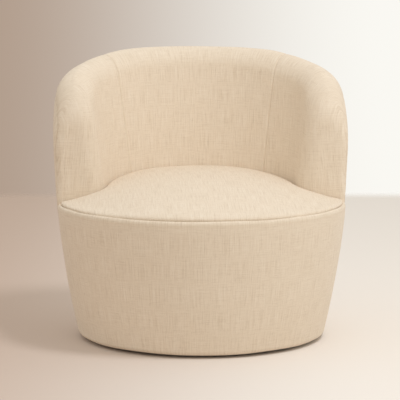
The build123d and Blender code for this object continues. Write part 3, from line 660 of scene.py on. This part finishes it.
def front_border(name):
    """The band under the seat, with its rounded top edge turned into the seam."""
    end = pi - np.arccos(SIDE_SEAM_Y / barrel_radius(END_LEVEL)) - GAP
    arcs = spaced(-end * BELLY_RADIUS, end * BELLY_RADIUS, BORDER_STEP)
    angle = pi + arcs / BELLY_RADIUS
    out = radial(angle)
    wall = barrel_radius(SEAM_HEIGHT)
    from_end = (end * BELLY_RADIUS - np.abs(arcs))[:, None]
    inner = SEAT_SIDE + SIDE_GAP - EAR_LEDGE * (1 - smooth(from_end, *LEDGE_FADE))
    rows = []
    for depth in np.linspace(TUCK, 0.0, TUCK_ROWS):
        rows.append(out * inner + at_height(SEAM_HEIGHT - TUCK_TOP - depth))
    for turn in np.linspace(0, pi / 2, LIP_ROWS):
        step = inner + BORDER_LIP * (1 - cos(turn))
        rows.append(out * step + at_height(SEAM_HEIGHT - BORDER_LIP * (1 - sin(turn))))
    for turn in np.linspace(0, pi / 2, EDGE_ROWS):
        radius = wall - BORDER_ROUND * (1 - sin(turn))
        drop = BORDER_DROP * (1 - cos(turn))
        radius -= wall - barrel_radius(SEAM_HEIGHT - drop)
        rows.append(out * radius + at_height(SEAM_HEIGHT - drop))
    for z in np.linspace(SEAM_HEIGHT - BORDER_DROP, HEM_TOP, BORDER_ROWS + 1)[1:]:
        rows.append(out * barrel_radius(z) + at_height(z))
    grid = with_hem(rows, angle)
    normals = grid_normals(grid)
    from_side = (end - np.abs(np.arctan2(grid[..., 0], -grid[..., 1]))) * BELLY_RADIUS
    dip = seam_dip(from_side, grid[..., 2])
    from_crease = np.abs(grid[..., 2] - SEAM_HEIGHT + CREASE_BELOW)
    dip = dip + CREASE * np.exp(-from_crease / CREASE_WIDTH)
    surface = grid - normals * (dip - unevenness(grid, seed=7))[..., None]
    return shell(name, surface, normals, COVER, barrel_weave)


# ---------------------------------------------------------------------------
# seat
# ---------------------------------------------------------------------------
SEAT_CORE_Y = -0.085       # centre from which the seat's rows run out
SEAT_CORE_Z = 0.360        # height of that centre
SEAT_CORE_INSET = 0.040    # the core line lies this far inside the seat's edge
SEAT_FOOT = 0.340          # underside of the seat
SEAT_COLUMNS = 560
FOOT_ROWS, EDGE_TURNS, CROWN_ROWS = 16, 25, 64     # rows up the side, round the edge, to the middle
SEAT_UNEVEN = 0.0010       # size of the foam's slow waves


def seat_pad(name):
    """The seat as a closed form: rows run down the side, round the edge and to the middle."""
    angle = np.linspace(0, 2 * pi, SEAT_COLUMNS, endpoint=False)
    flat = np.stack([np.cos(angle), np.sin(angle), 0 * angle], axis=-1)
    centre = np.array([0, SEAT_CORE_Y, SEAT_CORE_Z])
    edge = reach(np.broadcast_to(centre, flat.shape), flat, seat, far=0.6)
    edge_reach = np.linalg.norm(edge - centre, axis=-1)
    core = centre + flat * (edge_reach - SEAT_CORE_INSET)[:, None]
    starts, directions = [], []
    for z in np.linspace(SEAT_FOOT, SEAT_CORE_Z, FOOT_ROWS):
        starts.append(core + at_height(z - SEAT_CORE_Z))
        directions.append(flat)
    for lean in np.linspace(0, pi / 2, EDGE_TURNS + 1)[1:]:
        starts.append(core)
        directions.append(flat * cos(lean) + at_height(sin(lean)))
    for share in np.linspace(1, 0, CROWN_ROWS + 2)[1:-1]:
        starts.append(centre + (core - centre) * share)
        directions.append(np.broadcast_to(at_height(1.0), flat.shape))
    grid = reach(np.stack(starts), np.stack(directions), seat, far=0.2)
    uneven = unevenness(grid, seed=11, size=SEAT_UNEVEN)
    grid = grid + gradient(grid, seat) * uneven[..., None]
    rows, columns = grid.shape[:2]
    peak = grid[-1].mean(axis=0)
    points = np.concatenate([grid.reshape(-1, 3), peak[None, :]])
    faces = grid_faces(rows, columns, wrap=True)
    last = (rows - 1) * columns
    for j in range(columns):
        faces.append((last + j, last + (j + 1) % columns, rows * columns))
    faces.append(list(range(columns))[::-1])
    return make_mesh(name, points, faces, seat_weave)


# ---------------------------------------------------------------------------
# materials
# ---------------------------------------------------------------------------
class Tree:
    """Short way to add nodes to a node tree."""

    def __init__(self, tree):
        self.tree = tree

    def add(self, kind, values=(), **settings):
        node = self.tree.nodes.new(kind)
        for key, value in settings.items():
            setattr(node, key, value)
        for key, value in dict(values).items():
            if isinstance(value, bpy.types.NodeSocket):
                self.tree.links.new(value, node.inputs[key])
            else:
                node.inputs[key].default_value = value
        return node

    def surface(self, shader, output):
        self.tree.links.new(shader.outputs[0], self.tree.nodes[output].inputs["Surface"])

    def math(self, operation, a, b=0.0):
        return self.add("ShaderNodeMath", {0: a, 1: b}, operation=operation).outputs[0]

    def vector(self, operation, a, b):
        """A vector operation; b is a number for SCALE, otherwise a vector."""
        values = {0: a, "Scale" if operation == "SCALE" else 1: b}
        return self.add("ShaderNodeVectorMath", values, operation=operation)

    def noise(self, vector, scale, detail):
        values = {"Vector": vector, "Scale": scale, "Detail": detail}
        return self.add("ShaderNodeTexNoise", values).outputs["Fac"]

    def stretched(self, vector, across, along, turn=False):
        """Coordinates stretched so that a noise of scale 1 becomes threads."""
        size = (along, across, 1.0) if turn else (across, along, 1.0)
        return self.add("ShaderNodeMapping", {"Vector": vector, "Scale": size}).outputs[0]

    def ramp(self, value, low, high, low_out=0.0, high_out=1.0):
        values = {"Value": value, "From Min": low, "From Max": high}
        values.update({"To Min": low_out, "To Max": high_out})
        return self.add("ShaderNodeMapRange", values, interpolation_type="SMOOTHSTEP").outputs[0]

    def mix(self, share, a, b):
        node = self.add("ShaderNodeMix", data_type="RGBA")
        for index, value in ((0, share), (6, a), (7, b)):
            if isinstance(value, bpy.types.NodeSocket):
                self.tree.links.new(value, node.inputs[index])
            else:
                node.inputs[index].default_value = value if index == 0 else (*value, 1.0)
        return node.outputs[2]


class Nodes(Tree):
    """A material with its main shader."""

    def __init__(self, name, roughness, metallic=0.0):
        self.material = bpy.data.materials.new(name)
        self.material.use_nodes = True
        super().__init__(self.material.node_tree)
        self.shader = self.tree.nodes["Principled BSDF"]
        self.set("Roughness", roughness)
        self.set("Metallic", metallic)

    def set(self, socket, value):
        self.shader.inputs[socket].default_value = value

    def colour(self, value):
        self.tree.links.new(value, self.shader.inputs["Base Color"])

    def bump(self, height, distance, strength=1.0):
        values = {"Height": height, "Distance": distance, "Strength": strength}
        node = self.add("ShaderNodeBump", values)
        self.tree.links.new(node.outputs[0], self.shader.inputs["Normal"])

    def place(self):
        return self.add("ShaderNodeTexCoord").outputs["Object"]


LINEN = (0.830, 0.705, 0.555)
LINEN_LIGHT = (0.900, 0.795, 0.660)
LINEN_DARK = (0.590, 0.460, 0.325)
THREAD = 0.00125           # distance between threads
WANDER, WANDER_SCALE = 0.0011, 90.0    # how far threads stray, and how often
CROSSING = 0.35            # softness of the change from warp to weft
# threads thicken into slubs: how many there are across and along, per metre
WARP_SLUBS, WEFT_SLUBS = (430.0, 15.0), (430.0, 18.0)
WARP_STREAKS, WEFT_STREAKS = (760.0, 46.0), (760.0, 50.0)
SLUB_RELIEF = 1.3          # slubs against threads
RELIEF, RELIEF_STRENGTH = 0.00030, 0.6


def linen():
    """Slubby plain weave in cream: interlaced threads, and slubs along warp and weft."""
    n = Nodes("linen", 0.92)
    n.set("Sheen Weight", 0.15)
    n.set("Sheen Roughness", 0.5)
    n.set("Specular IOR Level", 0.25)
    weave = n.add("ShaderNodeUVMap", uv_map="weave").outputs[0]
    values = {"Vector": weave, "Scale": WANDER_SCALE, "Detail": 1.0}
    wander = n.add("ShaderNodeTexNoise", values).outputs["Color"]
    shift = n.vector("SUBTRACT", wander, (0.5, 0.5, 0.5)).outputs[0]
    shift = n.vector("SCALE", shift, WANDER).outputs[0]
    split = n.add("ShaderNodeSeparateXYZ", {0: n.vector("ADD", weave, shift).outputs[0]})
    across = n.math("SINE", n.math("MULTIPLY", split.outputs[0], pi / THREAD))
    along = n.math("SINE", n.math("MULTIPLY", split.outputs[1], pi / THREAD))
    checker = n.ramp(n.math("MULTIPLY", across, along), -CROSSING, CROSSING)
    values = {0: checker, 2: n.math("ABSOLUTE", across), 3: n.math("ABSOLUTE", along)}
    height = n.add("ShaderNodeMix", values, data_type="FLOAT").outputs[0]
    warp_slub = n.noise(n.stretched(weave, *WARP_SLUBS), 1.0, 2.0)
    weft_slub = n.noise(n.stretched(weave, *WEFT_SLUBS, turn=True), 1.0, 2.0)
    warp_streak = n.noise(n.stretched(weave, *WARP_STREAKS), 1.0, 1.0)
    weft_streak = n.noise(n.stretched(weave, *WEFT_STREAKS, turn=True), 1.0, 1.0)
    # a tone sets in where its value leaves the first number, and has its share at the second
    tones = (
        (warp_slub, 0.48, 0.80, 0.44, LINEN_DARK),
        (weft_slub, 0.50, 0.80, 0.26, LINEN_DARK),
        (warp_slub, 0.52, 0.24, 0.62, LINEN_LIGHT),
        (weft_slub, 0.52, 0.24, 0.36, LINEN_LIGHT),
        (warp_streak, 0.58, 0.78, 0.45, LINEN_DARK),
        (weft_streak, 0.58, 0.78, 0.42, LINEN_DARK),
        # painted shade: darker in the low gaps between threads, where the weave's height is lowest
        (height, 0.25, 0.0, 0.30, LINEN_DARK),
    )
    colour = LINEN
    for value, start, full, share, tone in tones:
        colour = n.mix(n.ramp(value, start, full, 0.0, share), colour, tone)
    n.colour(colour)
    slubs = [n.math("MULTIPLY", slub, SLUB_RELIEF) for slub in (warp_slub, weft_slub)]
    n.bump(n.math("ADD", height, n.math("ADD", *slubs)), RELIEF, RELIEF_STRENGTH)
    return n.material


def plywood():
    """Raw birch plywood: long grain, and darker plies through its thickness."""
    n = Nodes("plywood", 0.6)
    place = n.place()
    grain = n.noise(n.stretched(place, 160.0, 9.0), 1.0, 4.0)
    values = {"Vector": place, "Scale": 110.0, "Distortion": 0.6}
    plies = n.add("ShaderNodeTexWave", values, bands_direction="Z").outputs["Fac"]
    colour = n.mix(n.ramp(grain, 0.35, 0.7), (0.62, 0.45, 0.27), (0.74, 0.58, 0.38))
    n.colour(n.mix(n.ramp(plies, 0.7, 0.95, 0.0, 0.25), colour, (0.40, 0.27, 0.15)))
    n.bump(grain, 0.0002)
    return n.material


def stained_wood():
    """Dark stain over long grain."""
    n = Nodes("stained_wood", 0.45)
    grain = n.noise(n.stretched(n.place(), 140.0, 8.0), 1.0, 4.0)
    n.colour(n.mix(n.ramp(grain, 0.3, 0.7), (0.018, 0.012, 0.009), (0.045, 0.030, 0.020)))
    n.bump(grain, 0.0002)
    return n.material


def plain(name, dark, light, roughness, metallic, scale, depth):
    """Moulded, pressed or felted stuff: two close tones and a fine grain."""
    n = Nodes(name, roughness, metallic)
    grain = n.noise(n.place(), scale, 3.0)
    n.colour(n.mix(n.ramp(grain, 0.3, 0.7), dark, light))
    n.bump(grain, depth, 0.5)
    return n.material


# dark tone, light tone, roughness, metallic, grains per metre, relief of the grain
PLAIN = {
    "glide_plastic": ((0.02, 0.02, 0.02), (0.04, 0.04, 0.04), 0.5, 0, 900, 0.0001),
    "cage_plastic": ((0.62, 0.60, 0.54), (0.70, 0.68, 0.62), 0.45, 0, 500, 0.0001),
    "bush_plastic": ((0.66, 0.64, 0.56), (0.74, 0.72, 0.64), 0.4, 0, 500, 0.0001),
    "zinc_steel": ((0.50, 0.50, 0.49), (0.62, 0.62, 0.60), 0.32, 1, 300, 0.00005),
    "swivel_steel": ((0.40, 0.40, 0.40), (0.52, 0.52, 0.51), 0.38, 1, 160, 0.0001),
    "ball_steel": ((0.72, 0.72, 0.72), (0.80, 0.80, 0.80), 0.1, 1, 200, 0.00002),
    "spring_steel": ((0.20, 0.20, 0.21), (0.32, 0.32, 0.33), 0.4, 1, 400, 0.0001),
    "felt": ((0.28, 0.26, 0.24), (0.42, 0.40, 0.37), 0.95, 0, 700, 0.0005),
    "fibreboard": ((0.26, 0.17, 0.10), (0.36, 0.25, 0.16), 0.7, 0, 400, 0.0002),
    "cambric": ((0.010, 0.010, 0.010), (0.030, 0.030, 0.030), 0.95, 0, 1200, 0.0002),
}
MATERIALS = {"linen": linen(), "plywood": plywood(), "stained_wood": stained_wood()}
for slot_name, look in PLAIN.items():
    MATERIALS[slot_name] = plain(slot_name, *look)


def dress(obj, slot_name):
    obj.data.materials.clear()
    obj.data.materials.append(MATERIALS[slot_name])


for part in frame["record"]["subparts"]:
    dress(frame["nodes"][part["node"]], part["material_slot"])


def soft_piece(obj, node):
    """Hands a modelled cover over to the frame in place of its CAD solid."""
    dress(obj, "linen")
    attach(obj, "chair")
    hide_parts(node)


back_angles = section_angles(-PANEL_ANGLE, PANEL_ANGLE, True, True)
soft_piece(pad("inside_back", back_angles, np.zeros(len(back_angles))), "inside_back_pad")
soft_piece(wing("right_wing", 1), "right_wing_pad")
soft_piece(wing("left_wing", -1), "left_wing_pad")
soft_piece(side_panel("right_outside", 1), "right_outside_panel")
soft_piece(side_panel("left_outside", -1), "left_outside_panel")
soft_piece(back_panel("outside_back"), "outside_back_panel")
soft_piece(front_border("border"), "front_border")
soft_piece(seat_pad("seat"), "seat_pad")

# ---------------------------------------------------------------------------
# floor, world, light and camera
# ---------------------------------------------------------------------------
CAMERA_TURN = radians(-4.0)
# painted shade: the wall behind is coloured darker at the left and lighter at the right, as the
# light falls
WALL_PAINTED_SHADE_LEFT = (0.440, 0.335, 0.262)
WALL_PAINTED_LIGHT_RIGHT = (0.955, 0.940, 0.890)
WALL_SHADE_SPREAD = (-0.112, 0.092)      # sideways looks at which the wall's painted shade and painted light are full
# painted shade: the floor is coloured darker at the left and lighter at the right, as the light
# falls
FLOOR_PAINTED_SHADE_LEFT = (0.585, 0.450, 0.365)
FLOOR_PAINTED_LIGHT_RIGHT = (0.880, 0.820, 0.755)
FLOOR_SHADE_SPREAD = (-0.85, 0.45)       # where the floor's painted shade runs from its dark left to its light right
FLOOR_END, FLOOR_SIDE, FLOOR_FRONT = 3.05, 9.0, -9.0
EDGE, EDGE_SOFT = 2.86, 0.11       # where the floor gives way to the wall's tones
EVEN_LIGHT, EVEN_COLOUR = 0.78, (1.0, 0.981, 0.932)
KEY_PLACE, KEY_TARGET, KEY_SIZE = (1.45, -1.3, 3.9), (0, 0, 0.4), 1.0
KEY_POWER, KEY_COLOUR = 54, (0.935, 0.950, 1.0)


def studio_material():
    """Painted shade on the floor, darker at the left and lighter at the right; at its far edge the
    floor gives way to the world behind.
    """
    n = Nodes("studio", 0.9)
    n.set("Specular IOR Level", 0.1)
    split = n.add("ShaderNodeSeparateXYZ", {0: n.place()})
    # painted shade: the floor's colour darkens towards the left
    n.colour(n.mix(n.ramp(split.outputs[0], *FLOOR_SHADE_SPREAD), FLOOR_PAINTED_SHADE_LEFT, FLOOR_PAINTED_LIGHT_RIGHT))
    clear = n.add("ShaderNodeBsdfTransparent").outputs[0]
    at_edge = n.ramp(split.outputs[1], EDGE - EDGE_SOFT, EDGE + EDGE_SOFT)
    both = n.add("ShaderNodeMixShader", {0: at_edge, 1: n.shader.outputs[0], 2: clear})
    n.surface(both, "Material Output")
    return n.material


def floor_sheet():
    """A wide flat floor, square to the camera."""
    corners = [(-FLOOR_SIDE, FLOOR_FRONT, 0.0), (FLOOR_SIDE, FLOOR_FRONT, 0.0),
               (FLOOR_SIDE, FLOOR_END, 0.0), (-FLOOR_SIDE, FLOOR_END, 0.0)]
    mesh = bpy.data.meshes.new("floor")
    mesh.from_pydata(corners, [], [(0, 1, 2, 3)])
    mesh.materials.append(studio_material())
    obj = bpy.data.objects.new("floor", mesh)
    obj.rotation_euler.z = CAMERA_TURN
    bpy.context.scene.collection.objects.link(obj)


def studio_world():
    """Even light from all round, and behind the floor a wall with painted shade, darker at the left
    and lighter at the right.
    """
    world = bpy.data.worlds.new("studio")
    world.use_nodes = True
    t = Tree(world.node_tree)
    lit = t.tree.nodes["Background"]
    lit.inputs["Color"].default_value = (*EVEN_COLOUR, 1.0)
    lit.inputs["Strength"].default_value = EVEN_LIGHT
    look = t.add("ShaderNodeTexCoord").outputs["Generated"]
    to_right = (cos(CAMERA_TURN), sin(CAMERA_TURN), 0.0)
    sideways = t.vector("DOT_PRODUCT", look, to_right).outputs["Value"]
    # painted shade: the wall's colour darkens towards the left
    tone = t.mix(t.ramp(sideways, *WALL_SHADE_SPREAD), WALL_PAINTED_SHADE_LEFT, WALL_PAINTED_LIGHT_RIGHT)
    wall = t.add("ShaderNodeBackground", {"Color": tone})
    ray = t.add("ShaderNodeLightPath").outputs
    straight = ray["Is Camera Ray"]
    for kind in ("Is Glossy Ray", "Is Transmission Ray"):
        straight = t.math("MAXIMUM", straight, ray[kind])
    both = t.add("ShaderNodeMixShader", {0: straight, 1: lit.outputs[0], 2: wall.outputs[0]})
    t.surface(both, "World Output")
    bpy.context.scene.world = world


def aim(obj, place, target):
    obj.location = place
    obj.rotation_euler = (Vector(target) - Vector(place)).to_track_quat("-Z", "Y").to_euler()


def area_light(name, place, target, size, power, colour):
    light = bpy.data.lights.new(name, "AREA")
    light.shape = "DISK"
    light.size = size
    light.energy = power
    light.color = colour
    obj = bpy.data.objects.new(name, light)
    aim(obj, place, target)
    bpy.context.scene.collection.objects.link(obj)


floor_sheet()
area_light("key", KEY_PLACE, KEY_TARGET, KEY_SIZE, KEY_POWER, KEY_COLOUR)
studio_world()
bpy.context.scene.view_settings.view_transform = "Standard"

CAMERA_DISTANCE, CAMERA_HEIGHT, AIM_HEIGHT = 5.5, 1.10, 0.3636
PHOTO_WIDTH, FOCAL_PIXELS, CENTRE_PIXEL, SENSOR = 400, 2078, 201.4, 36.0
camera_data = bpy.data.cameras.new("camera")
camera_data.sensor_width = SENSOR
camera_data.lens = FOCAL_PIXELS * SENSOR / PHOTO_WIDTH
camera_data.shift_x = -(CENTRE_PIXEL - PHOTO_WIDTH / 2) / PHOTO_WIDTH
camera = bpy.data.objects.new("camera", camera_data)
place = (CAMERA_DISTANCE * sin(CAMERA_TURN), -CAMERA_DISTANCE * cos(CAMERA_TURN), CAMERA_HEIGHT)
aim(camera, place, (0, 0, AIM_HEIGHT))
bpy.context.scene.collection.objects.link(camera)
bpy.context.scene.camera = camera

bpy.context.view_layer.update()
